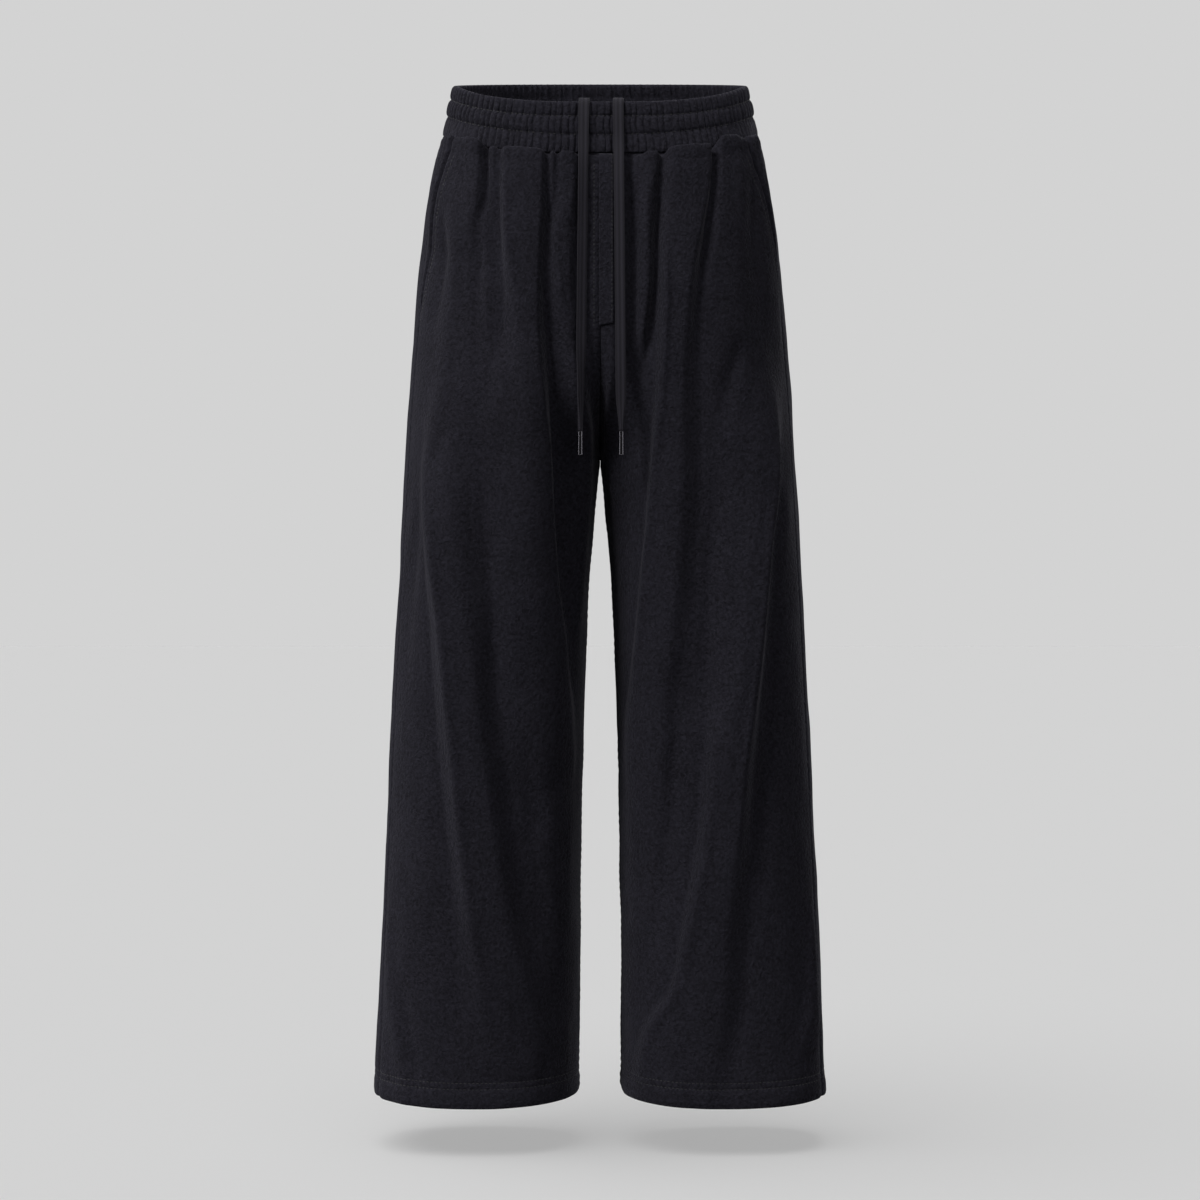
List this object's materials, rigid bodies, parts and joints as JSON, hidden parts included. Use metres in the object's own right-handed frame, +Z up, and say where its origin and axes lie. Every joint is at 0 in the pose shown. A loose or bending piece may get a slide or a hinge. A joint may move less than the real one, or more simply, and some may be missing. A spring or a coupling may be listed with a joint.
{
  "type": "wide-leg fleece sweatpants",
  "caption": "Black fleece wide-leg sweatpants, filled out with no wearer: gathered elastic waistband, mock fly, flat drawcord with metal tips, slanted side pockets and plain turned hems.",
  "frame": {"origin": "The middle of the waistband, half way up its sides, where the wearer's waist holds the garment.", "axes": "+Z up along the legs, the front faces -Y, and the wearer's left is +X."},
  "size_m": [0.462, 0.2795, 1.0524],
  "materials": {
    "fleece": "Brushed polyester-cotton fleece, matt with a soft pile",
    "braid": "Flat tubular braid, smoother than the fleece",
    "tip_metal": "Gunmetal-plated steel, polished"
  },
  "bodies": {
    "root": {"waistband": "fleece", "front_panel_left_hip": "fleece", "front_panel_left_thigh": "fleece", "front_panel_left_shin": "fleece", "front_panel_right_hip": "fleece", "front_panel_right_thigh": "fleece", "front_panel_right_shin": "fleece", "back_panel_left_hip": "fleece", "back_panel_left_thigh": "fleece", "back_panel_left_shin": "fleece", "back_panel_right_hip": "fleece", "back_panel_right_thigh": "fleece", "back_panel_right_shin": "fleece", "fly_placket": "fleece", "pocket_facing_left": "fleece", "pocket_facing_right": "fleece", "drawcord_left": "braid", "drawcord_right": "braid", "aglet_left": "tip_metal", "aglet_right": "tip_metal"}
  },
  "joints": []
}
